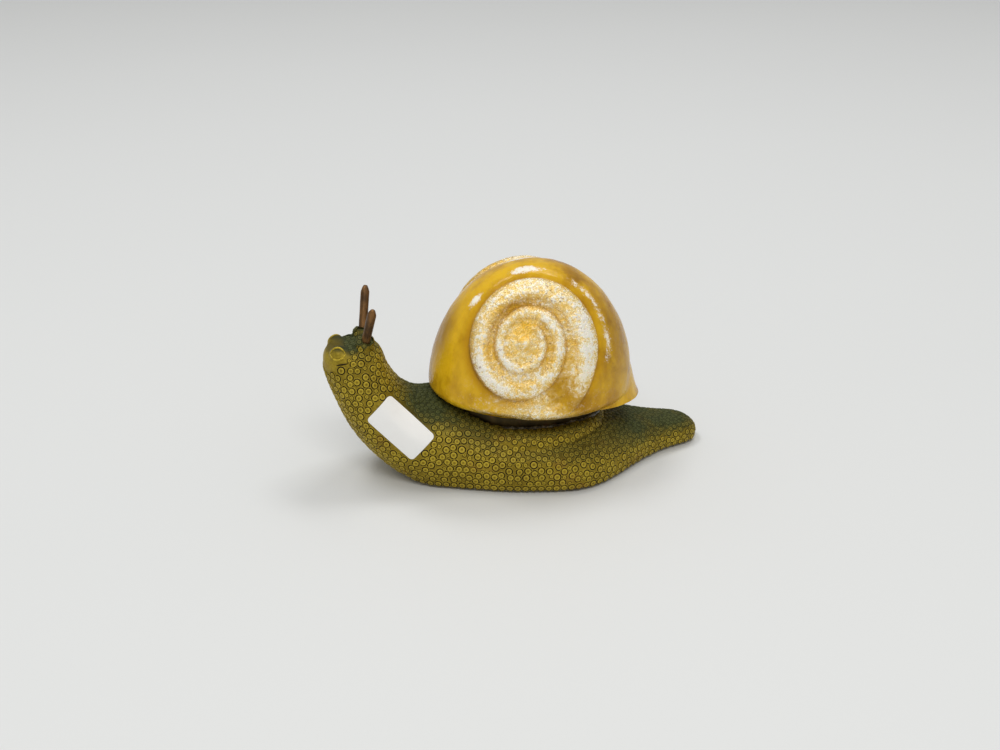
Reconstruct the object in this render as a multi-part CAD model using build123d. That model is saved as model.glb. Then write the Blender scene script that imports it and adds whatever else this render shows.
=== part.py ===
from build123d import *
import os
from math import atan2, cos, degrees, pi, radians, sin

# A snail figurine: a hollow cast body, a soldered oval collar and a glass shell that lifts off the collar.
# Millimetres, +Z up, head towards -X. The origin is on the floor, under the middle of the back.

# Back and tail: oval sections on upright planes, cut off at the floor
tail_length = 114.5
tail_sway = 9.0
foot_width = 111.0
back_height = 40.0
belly_depth = 16.0
# share of: tail_length, back_height, half foot_width, belly_depth, tail_sway
back_shares = (
    (1.00, 0.22, 0.08, 0.12, 1.00),
    (0.97, 0.33, 0.16, 0.14, 0.95),
    (0.91, 0.43, 0.24, 0.16, 0.90),
    (0.80, 0.50, 0.305, 0.22, 0.72),
    (0.66, 0.57, 0.425, 0.34, 0.45),
    (0.48, 0.68, 0.67, 0.62, 0.17),
    (0.23, 0.86, 0.965, 1.00, 0.00),
    (0.00, 1.00, 0.99, 1.00, 0.00),
    (-0.27, 1.10, 0.88, 1.00, 0.00),
)

# Neck and head: the same ovals on planes that fan forwards around a pivot behind the neck
neck_pivot_forward = 60.0
neck_pivot_height = 100.0
neck_front_radius = 116.0
neck_back_radius = 40.0
neck_root_width = 82.0
# angle, then share of: neck_front_radius, neck_back_radius, half neck_root_width
neck_shares = (
    (0.0, 1.00, 1.19, 0.96),
    (14.0, 0.89, 1.22, 0.87),
    (28.0, 0.806, 1.18, 0.77),
    (42.0, 0.738, 1.10, 0.67),
    (54.0, 0.688, 1.03, 0.57),
    (64.0, 0.664, 0.99, 0.49),
    (72.5, 0.648, 1.02, 0.42),
    (79.5, 0.60, 1.15, 0.28),
)
section_roundness = 2.2
quarter_points = 4

# Casting
cast_wall = 4.0
hollow_sections = slice(3, -2)
pad_thickness = 1.2
pad_inset = 2.5

# Face: an angle of the fan, and a share of the way from neck_back_radius to neck_front_radius
eye_radius = 5.8
eye_angle = 76.9
eye_depth_share = 0.3153
eye_spacing = 17.0

# Seat: the plane of the collar's rim, a little higher at the neck than at the tail
rim_rise = 7.5
seat_forward = 6.0
seat_tilt = 2.5
collar_length = 99.0
collar_width = 63.0
collar_end_radius = 23.0
collar_wall = 1.6
collar_depth = 16.5
pocket_depth = 13.0

# Mantle roll of the casting, whose sizes are those of its middle line, and the solder bead above it
roll_radius = 8.0
roll_length = 92.0
roll_width = 76.0
roll_end_radius = 27.0
roll_drop = 18.5
bead_radius = 1.5
bead_offset = 0.8
bead_drop = 11.8

# Shell: two half ellipsoids that meet at the waist, with a flared lip at the back
shell_length = 130.0
shell_width = 104.4
shell_waist_height = 8.7
shell_crown = 79.5
shell_tuck = 17.0
shell_aft = 4.8
shell_wall = 3.5
shell_floor = 4.0
shell_gap = 0.8
shell_lift = 60.0
lip_reach = 76.6
lip_middle = 36.0
lip_height = 32.0
lip_width = 68.0
# share of: lip_height, lip_reach, half lip_width
lip_shares = ((0.0, 1.0, 1.0), (0.22, 0.96, 0.98), (0.47, 0.93, 0.95), (1.0, 0.78, 0.82))
spigot_depth = 11.0
spigot_gap = 1.0
spigot_wall = 3.0

# Whorl: a tube that winds in towards an apex on each side of the shell
apex_turn = 15.0
apex_rise = 31.6
whorl_angle = 46.0
whorl_halving = 400.0
whorl_start = -80.0
whorl_end = 780.0
whorl_step = 30.0
whorl_middle_share = 0.77
whorl_across_share = 0.226
whorl_rise_share = 0.13
whorl_sunk_share = 0.2
whorl_first_share = 0.35
apex_bead_radius = 6.0
apex_sunk_share = 0.6

# Horns: eight-sided pegs in drilled sockets, placed on the fan as the eyes are
horn_length = 29.0
horn_width = 5.8
horn_tip_width = 2.6
horn_tip_length = 4.0
horn_sides = 8
horn_angle = 81.1
horn_depth_share = 0.083
horn_spacing = 18.0
horn_splay = 27.0
horn_lean = 8.0
tenon_width = 3.6
tenon_length = 8.0
tenon_gap = 0.1
socket_rim_gap = 0.5
boss_width = 10.5
boss_depth = 6.0
boss_rise = 1.5

# Label on the near side of the neck, aimed from a place on the fan
label_length = 38.1
label_width = 21.2
label_corner = 2.5
label_thickness = 0.25
label_angle = 21.1
label_depth_share = 0.419
label_turn = 45.0
label_yaw = 4.1
label_pitch = 17.8

# Rings of the cast skin: the main ones, low round bosses in staggered rows on both flanks
ring_pitch = 9.5
ring_row_step = 8.2
ring_floor = 4.5
ring_ceiling = 87.0
ring_rise = 0.5
ring_sunk = 1.0
ring_width = 4.2
ring_facing_share = 0.5

seat = Location((-seat_forward, 0, back_height + rim_rise), (0, seat_tilt, 0))
half_foot = foot_width / 2
reach = tail_length + neck_pivot_forward + neck_front_radius


def body_oval(low, high, half_width, sway, inset):
    # One closed oval on the plane through two points of the middle plane, square to that plane
    span = Vector(high[0] - low[0], 0, high[1] - low[1])
    up = span.normalized()
    half_height = span.length / 2 - inset
    middle = Vector((low[0] + high[0]) / 2, sway, (low[1] + high[1]) / 2)
    plane = Plane(middle, x_dir=(0, 1, 0), z_dir=Vector(0, 1, 0).cross(up))
    quarters = []
    for quarter in range(4):
        points = []
        for step in range(quarter_points + 1):
            turn = pi / 2 * (quarter + step / quarter_points)
            across = abs(cos(turn)) ** (2 / section_roundness) * (1 if cos(turn) > 0 else -1)
            along = abs(sin(turn)) ** (2 / section_roundness) * (1 if sin(turn) > 0 else -1)
            points.append(((half_width - inset) * across, half_height * along))
        ways = [(-sin(pi / 2 * end), cos(pi / 2 * end)) for end in (quarter, quarter + 1)]
        quarters.append(Spline(*points, tangents=ways))
    return plane * make_face(quarters)


def body_loft(inset=0.0, picked=slice(None)):
    sections = []
    for x, top, wide, deep, sway in back_shares:
        low = (x * tail_length, -deep * belly_depth)
        high = (x * tail_length, top * back_height)
        sections.append(body_oval(low, high, wide * half_foot, sway * tail_sway, inset))
    for angle, front, back, wide in neck_shares:
        way = (-sin(radians(angle)), -cos(radians(angle)))
        ends = [
            (radius * way[0] - neck_pivot_forward, radius * way[1] + neck_pivot_height)
            for radius in (front * neck_front_radius, back * neck_back_radius)
        ]
        sections.append(body_oval(*ends, wide * neck_root_width / 2, 0, inset))
    return loft(sections[picked])


def neck_spot(angle, depth_share):
    radius = neck_back_radius + depth_share * (neck_front_radius - neck_back_radius)
    way = (-sin(radians(angle)), -cos(radians(angle)))
    return Pos(radius * way[0] - neck_pivot_forward, 0, radius * way[1] + neck_pivot_height)


def slab(low, high):
    return Pos(0, 0, low) * Box(reach, reach, high - low, align=(Align.CENTER, Align.CENTER, Align.MIN))


def oval(length, width, end_radius):
    # Four arcs that meet in a smooth line, each as centre x and y, radius, start and span
    end_x = length / 2 - end_radius
    flank = width / 2 - end_radius
    side_y = (end_x**2 - flank**2) / (2 * flank)
    side_radius = width / 2 + side_y
    join = degrees(atan2(side_y, end_x))
    return (
        (end_x, 0, end_radius, -join, 2 * join),
        (0, -side_y, side_radius, join, 180 - 2 * join),
        (-end_x, 0, end_radius, 180 - join, 2 * join),
        (0, side_y, side_radius, 180 + join, 180 - 2 * join),
    )


collar_oval = oval(collar_length, collar_width, collar_end_radius)
roll_oval = oval(roll_length, roll_width, roll_end_radius)


def oval_prism(grow, low, high):
    edges = [CenterArc((x, y), r + grow, start, span) for x, y, r, start, span in collar_oval]
    return seat * extrude(Pos(0, 0, low) * make_face(edges), high - low)


def oval_tube(arcs, grow, height, radius):
    tube = Part()
    for x, y, r, start, span in arcs:
        way = Vector(cos(radians(start)), sin(radians(start)))
        spot = Vector(x, y, height) + way * (r + grow)
        ring = Plane(spot, x_dir=way, z_dir=Vector(0, 0, 1).cross(way)) * Circle(radius)
        tube += revolve(ring, Axis((x, y, 0), (0, 0, 1)), span)
    return seat * tube


def dome(grow=0.0):
    # The shell's outside, or a copy of it that stands off by grow
    radius = shell_length / 2 + grow
    flat = (shell_width / 2 + grow) / radius
    top = Sphere(radius, arc_size1=0, align=(Align.CENTER, Align.CENTER, Align.MIN))
    low = Sphere(radius, arc_size2=0, align=(Align.CENTER, Align.CENTER, Align.MAX))
    crown = scale(top, (1, flat, (shell_crown + grow) / radius))
    tuck = scale(low, (1, flat, (shell_tuck + grow) / radius))
    return seat * Pos(shell_aft, 0, shell_waist_height) * (crown + tuck)


def above(low):
    return seat * slab(low, low + reach)


def dome_point(away, turn):
    # A point on the near side of the dome, away degrees from the apex, and the way out of the dome there
    rise, side = radians(apex_rise), radians(apex_turn)
    apex = Vector(-sin(side) * cos(rise), -cos(side) * cos(rise), sin(rise))
    right = Vector(cos(side), -sin(side), 0)
    up = right.cross(apex) * -1
    spoke = right * cos(radians(turn)) + up * sin(radians(turn))
    n = apex * cos(radians(away)) + spoke * sin(radians(away))
    half = (shell_length / 2, shell_width / 2, shell_crown if n.Z > 0 else shell_tuck)
    point = Vector(n.X * half[0] + shell_aft, n.Y * half[1], n.Z * half[2] + shell_waist_height)
    out = Vector(n.X / half[0], n.Y / half[1], n.Z / half[2]).normalized()
    return point, out


def whorl():
    rings = []
    count = round((whorl_end - whorl_start) / whorl_step)
    for step in range(count + 1):
        turn = whorl_start + step * whorl_step
        suture = whorl_angle * 2 ** (-turn / whorl_halving)
        point, out = dome_point(suture * whorl_middle_share, turn)
        ahead, _ = dome_point(
            whorl_angle * 2 ** (-(turn + 1) / whorl_halving) * whorl_middle_share, turn + 1
        )
        grown = min(1, whorl_first_share + (1 - whorl_first_share) * step / 3)
        across = radians(suture) * whorl_across_share * shell_width / 2 * grown
        rise = radians(suture) * whorl_rise_share * shell_width / 2 * grown
        along = (ahead - point).normalized()
        out = (out - along * out.dot(along)).normalized()
        plane = Plane(point - out * rise * whorl_sunk_share, x_dir=out, z_dir=along)
        rings.append(plane * Ellipse(rise, across))
    point, out = dome_point(0, 0)
    bead = Pos(*(point - out * apex_bead_radius * apex_sunk_share)) * Sphere(apex_bead_radius)
    return loft(rings), bead


def lip():
    rings = []
    for height, far, wide in lip_shares:
        face = Ellipse(far * lip_reach - lip_middle, wide * lip_width / 2)
        rings.append(Pos(lip_middle, 0, height * lip_height) * face)
    return seat * loft(rings)


def make_shell():
    tube, bead = whorl()
    shell = dome() + lip()
    for piece in (tube, bead):
        shell += seat * piece
        shell += seat * mirror(piece, Plane.XZ)
    shell &= above(0)
    shell -= dome(-shell_wall) & above(shell_floor)
    outside = -collar_wall - spigot_gap
    shell += oval_prism(outside, -spigot_depth, shell_floor)
    shell -= oval_prism(outside - spigot_wall, -spigot_depth, shell_floor)
    return shell


def make_collar():
    return oval_prism(0, -collar_depth, 0) - oval_prism(-collar_wall, -collar_depth, 0)


def make_bead():
    return oval_tube(collar_oval, bead_offset, -bead_drop, bead_radius) - oval_prism(0, -collar_depth, 0)


def horn_spot(side):
    spot = neck_spot(horn_angle, horn_depth_share) * Pos(0, side * horn_spacing / 2, 0)
    return spot * Rot(-side * horn_splay, 0, 0) * Rot(0, horn_lean, 0)


def make_horn(side):
    wide = RegularPolygon(horn_width / 2, horn_sides)
    tip = RegularPolygon(horn_tip_width / 2, horn_sides)
    shank = horn_length - horn_tip_length
    horn = extrude(wide, shank) + loft([Pos(0, 0, shank) * wide, Pos(0, 0, horn_length) * tip])
    horn += Pos(0, 0, -tenon_length) * upright(tenon_width, tenon_length)
    return horn_spot(side) * horn


def upright(width, height):
    return Cylinder(width / 2, height, align=(Align.CENTER, Align.CENTER, Align.MIN))


def make_hollow():
    # The inside of the casting follows the outside, and leaves a boss under the collar's pocket
    boss = oval_prism(cast_wall, -pocket_depth - cast_wall, shell_lift)
    return body_loft(cast_wall, hollow_sections) - boss


def ring_places(body):
    # Where level lines from either side meet the body, clear of the eyes, horns, label and collar
    crowded = [label_prism(ring_width), oval_prism(bead_offset + ring_width, -collar_depth, shell_lift)]
    for side in (-1, 1):
        crowded.append(eye_spot(side) * Sphere(eye_radius + ring_width))
        crowded.append(horn_spot(side) * Sphere(boss_width))
    front = body.bounding_box().min.X
    places = []
    for row in range(round((ring_ceiling - ring_floor) / ring_row_step) + 1):
        height = ring_floor + row * ring_row_step
        rear = tail_length if height < back_height else -neck_pivot_forward
        for column in range(round((rear - front) / ring_pitch)):
            x = rear - (column + row % 2 / 2) * ring_pitch
            for side in (-1, 1):
                line = Axis((x, side * reach, height), (0, -side, 0))
                hits = body.find_intersection_points(line)
                if not hits:
                    continue
                point, out = max(hits, key=lambda hit: side * hit[0].Y)
                if abs(out.Y) > ring_facing_share and not any(zone.is_inside(point) for zone in crowded):
                    places.append(Plane(point, z_dir=out if side * out.Y > 0 else -out))
    return places


def make_rings(places):
    boss = upright(ring_width, ring_sunk + ring_rise)
    return [place * Pos(0, 0, -ring_sunk) * boss for place in places]


def eye_spot(side):
    return neck_spot(eye_angle, eye_depth_share) * Pos(0, side * eye_spacing / 2, 0)


def make_casting():
    body = body_loft() + oval_tube(roll_oval, 0, -roll_drop, roll_radius)
    for side in (-1, 1):
        body += eye_spot(side) * Sphere(eye_radius)
        body += horn_spot(side) * Pos(0, 0, -boss_depth) * upright(boss_width, boss_depth + boss_rise)
    places = ring_places(body)
    body -= slab(-reach, pad_thickness)
    body -= make_hollow()
    body -= dome(shell_gap) & above(-shell_gap)
    body -= oval_prism(0, -collar_depth, shell_lift) - oval_prism(-collar_wall, -collar_depth, -pocket_depth)
    body -= oval_tube(collar_oval, bead_offset, -bead_drop, bead_radius)
    body -= oval_prism(bead_offset, -bead_drop, shell_lift)
    for side in (-1, 1):
        spot = horn_spot(side)
        body -= spot * upright(horn_width + 2 * socket_rim_gap, horn_length)
        body -= spot * Pos(0, 0, -tenon_length) * upright(tenon_width + 2 * tenon_gap, horn_length)
    return body + make_rings(places)


def make_pad():
    return extrude(section(body_loft(pad_inset), Plane.XY), pad_thickness)


def label_prism(grow=0.0):
    flat = RectangleRounded(label_length + 2 * grow, label_width + 2 * grow, label_corner + grow)
    spot = neck_spot(label_angle, label_depth_share) * Rot(0, 0, -label_yaw) * Rot(-label_pitch, 0, 0)
    return spot * Rot(90, 0, 0) * Rot(0, 0, -label_turn) * extrude(flat, foot_width)


def make_label():
    return (body_loft(-label_thickness) & label_prism()) - body_loft()


if __name__ == "__main__":
    os.makedirs("parts", exist_ok=True)
    pieces = {
        "body_casting": make_casting(),
        "shell_collar": make_collar(),
        "collar_solder": make_bead(),
        "shell": make_shell(),
        "left_horn": make_horn(-1),
        "right_horn": make_horn(1),
        "paper_label": make_label(),
        "base_pad": make_pad(),
    }
    for name, piece in pieces.items():
        export_step(piece, f"parts/{name}.step")
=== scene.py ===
import bmesh
import bpy
import numpy as np
from math import cos, pi, radians, sin, sqrt
from mathutils import Matrix, Vector, noise
from mathutils.bvhtree import BVHTree
from mathutils.kdtree import KDTree


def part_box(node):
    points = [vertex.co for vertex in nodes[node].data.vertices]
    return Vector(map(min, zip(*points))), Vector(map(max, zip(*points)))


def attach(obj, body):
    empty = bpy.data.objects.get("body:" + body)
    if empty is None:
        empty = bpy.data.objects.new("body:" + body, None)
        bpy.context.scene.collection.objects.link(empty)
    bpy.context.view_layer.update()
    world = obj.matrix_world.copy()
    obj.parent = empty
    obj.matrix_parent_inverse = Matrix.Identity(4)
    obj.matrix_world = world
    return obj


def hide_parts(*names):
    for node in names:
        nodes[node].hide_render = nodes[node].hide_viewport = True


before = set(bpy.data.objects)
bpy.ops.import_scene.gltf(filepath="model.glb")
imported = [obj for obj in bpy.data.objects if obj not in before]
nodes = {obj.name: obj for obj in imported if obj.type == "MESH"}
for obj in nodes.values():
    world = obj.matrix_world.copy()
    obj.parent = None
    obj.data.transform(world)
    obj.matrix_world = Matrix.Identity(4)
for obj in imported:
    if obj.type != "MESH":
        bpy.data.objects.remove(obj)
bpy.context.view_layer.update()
mm = 0.001
weld = 1e-6  # points of the frame's meshes closer than this are one
print("frame loaded:", sorted(nodes))


# seat: the collar's rim, which the shell stands on
seat = {"forward": 6.0 * mm, "height": 47.5 * mm, "tilt": radians(2.5)}
seatMatrix = Matrix.Translation((-seat["forward"], 0, seat["height"])) @ Matrix.Rotation(seat["tilt"], 4, "Y")
toSeat = np.array(seatMatrix.inverted())
fromSeat = np.array(seatMatrix)


def moved(points, matrix):
    return points @ matrix[:3, :3].T + matrix[:3, 3]


def meshObject(name, verts, faces, smooth=True):
    mesh = bpy.data.meshes.new(name)
    mesh.from_pydata([tuple(v) for v in verts], [], [tuple(f) for f in faces])
    mesh.update()
    return linked(name, mesh, smooth)


def linked(name, mesh, smooth=True):
    mesh.polygons.foreach_set("use_smooth", [smooth] * len(mesh.polygons))
    obj = bpy.data.objects.new(name, mesh)
    bpy.context.scene.collection.objects.link(obj)
    return obj


def attribute(mesh, name, values):
    layer = mesh.attributes.new(name, "FLOAT", "POINT")
    layer.data.foreach_set("value", np.asarray(values, np.float32))


def coords(mesh):
    flat = np.zeros(len(mesh.vertices) * 3)
    mesh.vertices.foreach_get("co", flat)
    return flat.reshape(-1, 3)


def normals(mesh):
    flat = np.zeros(len(mesh.vertices) * 3)
    mesh.vertex_normals.foreach_get("vector", flat)
    return flat.reshape(-1, 3)


def smoothStep(low, high, x):
    t = np.clip((np.asarray(x, float) - low) / (high - low), 0, 1)
    return t * t * (3 - 2 * t)


def bell(x, middle, width):
    return np.exp(-((x - middle) / width) ** 2)


def welded(node):
    bm = bmesh.new()
    bm.from_mesh(nodes[node].data)
    bmesh.ops.remove_doubles(bm, verts=bm.verts, dist=weld)
    return bm


def gridFaces(rows, columns):
    faces = []
    for i in range(rows - 1):
        for j in range(columns):
            k = (j + 1) % columns
            faces.append((i * columns + j, i * columns + k, (i + 1) * columns + k, (i + 1) * columns + j))
    return faces


def baked(obj):  # the modifiers' result as a plain mesh
    graph = bpy.context.evaluated_depsgraph_get()
    graph.update()
    mesh = bpy.data.meshes.new_from_object(obj.evaluated_get(graph))
    obj.modifiers.clear()
    return mesh


class Sock:
    def __init__(self, graph, out):
        self.graph = graph
        self.out = out

    def __add__(self, other):
        return self.graph.maths("ADD", self, other)

    def __radd__(self, other):
        return self.graph.maths("ADD", other, self)

    def __sub__(self, other):
        return self.graph.maths("SUBTRACT", self, other)

    def __rsub__(self, other):
        return self.graph.maths("SUBTRACT", other, self)

    def __mul__(self, other):
        return self.graph.maths("MULTIPLY", self, other)


class Graph:
    def __init__(self, owner):  # a material or the world
        owner.use_nodes = True
        self.owner = owner
        self.tree = owner.node_tree
        self.tree.nodes.clear()

    def feed(self, socket, value):
        if isinstance(value, Sock):
            self.tree.links.new(value.out, socket)
        else:
            socket.default_value = value

    def node(self, kind, inputs=None, out=0, **settings):
        made = self.tree.nodes.new(kind)
        for key, value in settings.items():
            setattr(made, key, value)
        for key, value in (inputs or {}).items():
            self.feed(next(s for s in made.inputs if s.enabled and key in (s.name, s.identifier)), value)
        shown = [s for s in made.outputs if s.enabled and out in (0, s.name)]
        return Sock(self, shown[0]) if shown else None

    def maths(self, operation, a, b=0.0):
        made = self.tree.nodes.new("ShaderNodeMath")
        made.operation = operation
        for socket, value in zip(made.inputs, (a, b)):
            self.feed(socket, value)
        return Sock(self, made.outputs[0])

    def place(self, scale=(1, 1, 1)):
        where = self.node("ShaderNodeTexCoord", out="Object")
        return self.node("ShaderNodeMapping", {"Vector": where, "Scale": scale})

    def noise(self, scale, detail=3.0, rough=0.55, where=None):
        inputs = {"Vector": where or self.place(), "Scale": scale, "Detail": detail, "Roughness": rough}
        return self.node("ShaderNodeTexNoise", inputs, "Fac")

    def step(self, value, low, high):
        inputs = {"Value": value, "From Min": low, "From Max": high}
        return self.node("ShaderNodeMapRange", inputs, interpolation_type="SMOOTHSTEP")

    def mix(self, factor, a, b):
        first, second = (c if isinstance(c, Sock) else (*c, 1) for c in (a, b))
        return self.node("ShaderNodeMix", {"Factor": factor, "A": first, "B": second}, data_type="RGBA")

    def value(self, name):
        return self.node("ShaderNodeAttribute", out="Fac", attribute_name=name)

    def bump(self, height, distance, strength=1.0, normal=None):
        inputs = {"Height": height, "Distance": distance, "Strength": strength}
        if normal:
            inputs["Normal"] = normal
        return self.node("ShaderNodeBump", inputs)

    def finish(self, **inputs):
        names = {key.replace("_", " "): value for key, value in inputs.items()}
        colour = names.get("Base Color")
        if colour is not None and not isinstance(colour, Sock):
            names["Base Color"] = (*colour, 1)
        shader = self.node("ShaderNodeBsdfPrincipled", names)
        self.node("ShaderNodeOutputMaterial", {"Surface": shader})
        return self.owner


# materials
def patinaMaterial():
    look = {
        "groove": (0.016, 0.010, 0.001), "olive": (0.200, 0.136, 0.008), "gold": (0.56, 0.42, 0.040),
        "green": (0.022, 0.027, 0.005), "verdigris": (0.085, 0.095, 0.026), "red": (0.24, 0.105, 0.016),
    }
    g = Graph(bpy.data.materials.new("castPatina"))
    wear = g.value("wear")
    shade = g.value("shade")
    blotch = g.noise(70, 4)
    fine = g.noise(700, 3)
    worn = wear + (fine - 0.5) * 0.5 + (blotch - 0.5) * 0.55
    flank = g.mix(g.step(worn, 0.0, 0.45), look["groove"], look["olive"])
    flank = g.mix(g.step(worn, 0.4, 1.15), flank, look["gold"])
    flank = g.mix(g.step(g.noise(45, 3, where=g.place((1, 1, 1.6))), 0.56, 0.74) * 0.4, flank, look["red"])
    # where shade weighs the skin turns dark green: the casting's green patina with the shell's shadow painted
    # in
    top = g.mix(g.step(worn, 0.2, 1.1), look["green"], look["verdigris"])
    colour = g.mix(shade + (blotch - 0.5) * shade, flank, top)
    return g.finish(Base_Color=colour, Metallic=0.35 - shade * 0.2, Roughness=0.36 + fine * 0.2 + shade * 0.1,
                    Specular_IOR_Level=0.18, Normal=g.bump(fine, 0.15 * mm, 0.7))


def collarMaterial():
    look = {"dark": (0.040, 0.028, 0.009), "brown": (0.115, 0.075, 0.020), "rust": (0.16, 0.06, 0.03)}
    g = Graph(bpy.data.materials.new("collarMetal"))
    blotch = g.noise(90, 4)
    fine = g.noise(900, 3)
    colour = g.mix(g.step(blotch, 0.35, 0.7), look["dark"], look["brown"])
    colour = g.mix(g.step(g.noise(160, 2), 0.6, 0.72) * 0.5, colour, look["rust"])
    return g.finish(Base_Color=colour, Metallic=0.7, Roughness=0.33 + fine * 0.2,
                    Normal=g.bump(fine, 0.05 * mm))


def solderMaterial():
    look = {"soot": (0.045, 0.040, 0.030), "grey": (0.28, 0.28, 0.26)}
    g = Graph(bpy.data.materials.new("greySolder"))
    blotch = g.noise(260, 4)
    colour = g.mix(g.step(blotch, 0.38, 0.66), look["soot"], look["grey"])
    return g.finish(Base_Color=colour, Metallic=0.3, Roughness=0.45 + blotch * 0.3,
                    Normal=g.bump(g.noise(900, 3), 0.15 * mm))


def hornMaterial():
    look = {"dark": (0.070, 0.034, 0.010), "bronze": (0.31, 0.15, 0.042)}
    g = Graph(bpy.data.materials.new("hornBronze"))
    along = g.noise(140, 4, where=g.place((1, 1, 0.25)))
    fine = g.noise(900, 3)
    colour = g.mix(g.step(along + g.value("wear") * 0.25, 0.4, 0.8), look["dark"], look["bronze"])
    return g.finish(Base_Color=colour, Metallic=0.6, Roughness=0.36 + fine * 0.22,
                    Normal=g.bump(fine, 0.08 * mm))


def paperMaterial():
    look = {"white": (0.93, 0.93, 0.915), "aged": (0.87, 0.865, 0.845)}
    g = Graph(bpy.data.materials.new("labelPaper"))
    fibre = g.noise(1600, 4)
    colour = g.mix(g.step(g.noise(50, 3), 0.5, 0.8) * 0.3, look["white"], look["aged"])
    return g.finish(Base_Color=colour, Roughness=0.62 + fibre * 0.15, Normal=g.bump(fibre, 0.02 * mm))


def feltMaterial():
    look = {"dark": (0.010, 0.020, 0.012), "green": (0.035, 0.055, 0.035)}
    g = Graph(bpy.data.materials.new("greenFelt"))
    fibre = g.noise(2200, 5, 0.7)
    colour = g.mix(fibre, look["dark"], look["green"])
    return g.finish(Base_Color=colour, Roughness=0.95, Sheen_Weight=0.4, Normal=g.bump(fibre, 0.3 * mm))


def shellMaterial():
    # white, and pearl on the rim, are painted highlight; bright is painted glow; deep, and umber and amber
    # where dusk and the valley weigh, are painted shade
    look = {
        "amber": (0.50, 0.255, 0.003), "honey": (0.78, 0.47, 0.012), "deep": (0.30, 0.115, 0.002),
        "gold": (0.88, 0.52, 0.05), "pearl": (1.0, 0.82, 0.44), "white": (1.0, 0.97, 0.88),
        "speck": (0.20, 0.07, 0.006), "bright": (1.0, 0.64, 0.02),
        "umber": (0.30, 0.145, 0.002),
    }
    g = Graph(bpy.data.materials.new("lustreGlass"))
    disc = g.value("disc")
    groove = g.value("groove")
    crestHighlight = g.value("crestHighlight")
    cloud = g.noise(34, 4, 0.6)
    streak = g.noise(120, 5, 0.65, where=g.place((0.5, 1, 1)))
    grain = g.noise(420, 4, 0.7)
    fine = g.noise(1000, 2, 0.6)
    wisps = g.noise(70, 5, 0.6, where=g.place((1, 1, 0.35)))
    band = g.mix(g.step(cloud * 0.6 + wisps * 0.6, 0.48, 0.72), look["amber"], look["honey"])
    band = g.mix(g.step(cloud * 0.7 + streak * 0.3, 0.30, 0.47), look["umber"], band)
    # painted shade: the band darkens to umber where dusk weighs
    band = g.mix(g.value("dusk") * (0.35 + wisps * 0.8), band, look["umber"])
    # painted glow: the band turns bright yellow on its lower left, as if lit through the glass
    band = g.mix(g.value("glow") * g.step(wisps + (grain - 0.5) * 0.4, 0.36, 0.62), band, look["bright"])
    # painted highlight: the disc turns paler and sparkles more along the coil's lit crest
    tone = grain * 0.4 + fine * 0.2 + streak * 0.4 + crestHighlight * 0.12
    pale = g.mix(g.step(tone, 0.40, 0.60), look["gold"], look["pearl"])
    colour = g.mix(g.step(disc * (0.45 + streak * 0.9 + (grain - 0.5) * 0.8), 0.2, 0.8), band, pale)
    # painted shade: amber in the valley beside each suture, strongest on the shaded side
    colour = g.mix(g.value("valleyShade") * (0.6 + wisps * 0.6), colour, look["amber"])
    # painted shade: darker brown along the suture groove
    colour = g.mix(g.step(groove + (grain - 0.5) * 0.9, 0.6, 1.3) * 0.5, colour, look["deep"])
    # painted highlights: white sparkle flecks on the disc and glint patches along the outer band
    sparks = grain * 0.5 + fine * 0.36 + streak * 0.42 + crestHighlight * 0.13
    paintedSparkle = g.step(sparks, 0.675, 0.765) * disc * (1 - g.value("valleyShade") * 0.7)
    shine = grain * 0.4 + fine * 0.3 + streak * 0.4 + g.value("glint") * 0.42
    paintedSparkle = g.maths("MAXIMUM", paintedSparkle, g.step(shine, 0.76, 0.94))
    colour = g.mix(paintedSparkle * 0.9, colour, look["white"])
    # painted highlight: a pale line just inside the outer suture
    colour = g.mix(g.value("rimHighlight") * (0.2 + streak * 0.7), colour, look["pearl"])
    cells = {"Vector": g.place(), "Scale": 420.0, "Randomness": 1.0}
    cells = g.node("ShaderNodeTexVoronoi", cells, "Distance")
    dots = (1 - g.step(cells, 0.14, 0.30)) * g.step(g.noise(110, 2), 0.49, 0.62) * (0.12 + disc * 0.88)
    colour = g.mix(dots * 0.7, colour, look["speck"])
    lumps = 0.2 + disc * 0.8
    ripple = g.bump(streak * lumps, 2.6 * mm, 0.8)
    ripple = g.bump(grain * lumps, 1.3 * mm, 0.8, ripple)
    ripple = g.bump(fine * lumps, 0.18 * mm, 0.6, ripple)
    return g.finish(Base_Color=colour, Roughness=0.10 + fine * 0.2 + disc * 0.06,
                    Metallic=disc * 0.5 * (1 - paintedSparkle * 0.6), Coat_Weight=0.06, Coat_Roughness=0.05,
                    Coat_IOR=1.5, Subsurface_Weight=0.1,
                    Subsurface_Radius=(1.0, 0.6, 0.2), Subsurface_Scale=0.004, Specular_IOR_Level=0.22,
                    Normal=ripple)


patina = patinaMaterial()
print("materials made")


# body: the casting's outside as one even skin
skinSpec = {"voxel": 1.15 * mm, "smooth": 6, "rays": 26, "lift": 0.05 * mm, "slant": 0.05}


def outsideOnly(bm, lid):
    # drops the hollow: the largest patch of faces that see no daylight once the foot is closed
    blocks = [BVHTree.FromBMesh(bm), lid]
    ways = []
    for i in range(skinSpec["rays"]):
        z = 1 - 2 * (i + 0.5) / skinSpec["rays"]
        turn = i * pi * (3 - sqrt(5))
        ways.append(Vector((cos(turn) * sqrt(1 - z * z), sin(turn) * sqrt(1 - z * z), z)))
    hidden = set()
    for face in bm.faces:
        start = face.calc_center_median() + face.normal * skinSpec["lift"]
        ahead = (w for w in ways if w.dot(face.normal) > skinSpec["slant"])
        if all(any(b.ray_cast(start, w)[0] for b in blocks) for w in ahead):
            hidden.add(face)
    hollow = []
    while hidden:
        patch = [hidden.pop()]
        for face in patch:
            beside = {f for e in face.edges for f in e.link_faces} & hidden
            hidden -= beside
            patch += beside
        hollow = max(hollow, patch, key=len)
    bmesh.ops.delete(bm, geom=hollow, context="FACES")
    return len(hollow)


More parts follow.
